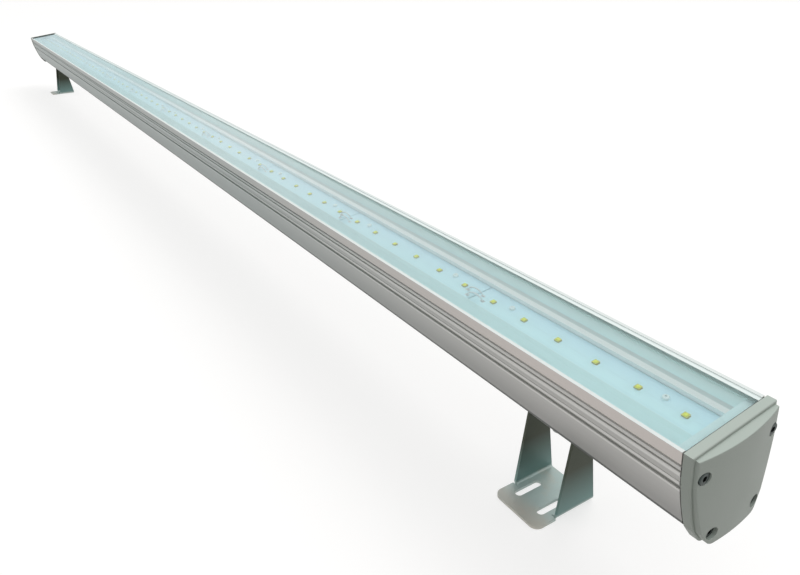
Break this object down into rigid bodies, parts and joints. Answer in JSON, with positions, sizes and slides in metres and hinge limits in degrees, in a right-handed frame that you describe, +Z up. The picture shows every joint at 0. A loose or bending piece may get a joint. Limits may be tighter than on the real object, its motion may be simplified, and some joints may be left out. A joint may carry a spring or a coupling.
{
  "type": "linear wall washer light",
  "caption": "Long glazed aluminium trough with a row of LEDs under glass, die-cast end caps, a cable gland, and two slotted foot brackets that slide along it and let it tilt.",
  "frame": {"origin": "middle of the whole lamp's outline seen from above, at the level of the undersides of the two bracket bases", "axes": "+X along the lamp away from its cable gland, +Y to the rear, away from the side that the glass leans towards, +Z up"},
  "size_m": [2.0406, 0.0638, 0.1339],
  "materials": {
    "housing_metal": "satin, clear anodised extrusion",
    "cover_glass": "clear, polished, tempered",
    "clear_silicone": "smooth",
    "cap_paint": "satin powder coat over a die casting",
    "gasket_rubber": "matt",
    "steel_screws": "plain stainless",
    "white_silicone": "matt",
    "board_laminate": "white solder mask",
    "led_phosphor": "silicone lens over yellow phosphor",
    "white_wire": "insulated wire",
    "driver_metal": "plain",
    "driver_laminate": "green laminate",
    "black_plastic": "moulded",
    "lead_wire": "insulated wire",
    "gland_plastic": "moulded nylon",
    "bracket_zinc": "zinc plated sheet",
    "lug_metal": "machined"
  },
  "bodies": {
    "lamp": {"housing": "housing_metal", "glass_cover": "cover_glass", "front_glass_seal": "clear_silicone", "rear_glass_seal": "clear_silicone", "right_end_cap": "cap_paint", "left_end_cap": "cap_paint", "right_gasket": "gasket_rubber", "left_gasket": "gasket_rubber", "right_cap_screws": "steel_screws", "left_cap_screws": "steel_screws", "right_end_plug": "white_silicone", "left_end_plug": "white_silicone", "board_screws": "steel_screws", "board_jumpers": "white_wire", "driver_pad": "gasket_rubber", "driver_case": "driver_metal", "driver_cover": "driver_metal", "driver_board": "driver_laminate", "driver_components": "black_plastic", "output_leads": "lead_wire", "gland_body": "gland_plastic", "gland_dome_nut": "gland_plastic", "gland_locknut": "gland_plastic", "gland_seal": "gasket_rubber", "led_board_01": "board_laminate", "led_board_02": "board_laminate", "led_board_03": "board_laminate", "led_board_04": "board_laminate", "led_board_05": "board_laminate", "led_board_06": "board_laminate", "led_board_07": "board_laminate", "led_board_08": "board_laminate", "led_board_09": "board_laminate", "led_board_10": "board_laminate", "led_board_11": "board_laminate", "led_row_01": "led_phosphor", "led_row_02": "led_phosphor", "led_row_03": "led_phosphor", "led_row_04": "led_phosphor", "led_row_05": "led_phosphor", "led_row_06": "led_phosphor", "led_row_07": "led_phosphor", "led_row_08": "led_phosphor", "led_row_09": "led_phosphor", "led_row_10": "led_phosphor", "led_row_11": "led_phosphor"},
    "right_clamp": {"right_hinge_lug": "lug_metal", "right_slot_nut": "steel_screws", "right_clamp_screw": "steel_screws"},
    "left_clamp": {"left_hinge_lug": "lug_metal", "left_slot_nut": "steel_screws", "left_clamp_screw": "steel_screws"},
    "right_foot": {"right_bracket": "bracket_zinc", "right_pivot_screws": "steel_screws", "right_pivot_washers": "steel_screws"},
    "left_foot": {"left_bracket": "bracket_zinc", "left_pivot_screws": "steel_screws", "left_pivot_washers": "steel_screws"}
  },
  "joints": [
    {"name": "right_clamp_slide", "type": "slide", "parent": "lamp", "child": "right_clamp", "axis": [1, 0, 0], "range_m": [-0.7, 0.06]},
    {"name": "left_clamp_slide", "type": "slide", "parent": "lamp", "child": "left_clamp", "axis": [1, 0, 0], "range_m": [-0.06, 0.7]},
    {"name": "right_tilt", "type": "hinge", "parent": "right_clamp", "child": "right_foot", "pos_m": [0.89835, 0.00749, 0.06], "axis": [1, 0, 0], "range_deg": [-68, 82]},
    {"name": "left_tilt", "type": "hinge", "parent": "left_clamp", "child": "left_foot", "pos_m": [-0.88165, 0.00749, 0.06], "axis": [1, 0, 0], "range_deg": [-68, 82]}
  ],
  "couplings": [
    {"joint": "left_tilt", "follows": "right_tilt", "ratio": 1}
  ]
}
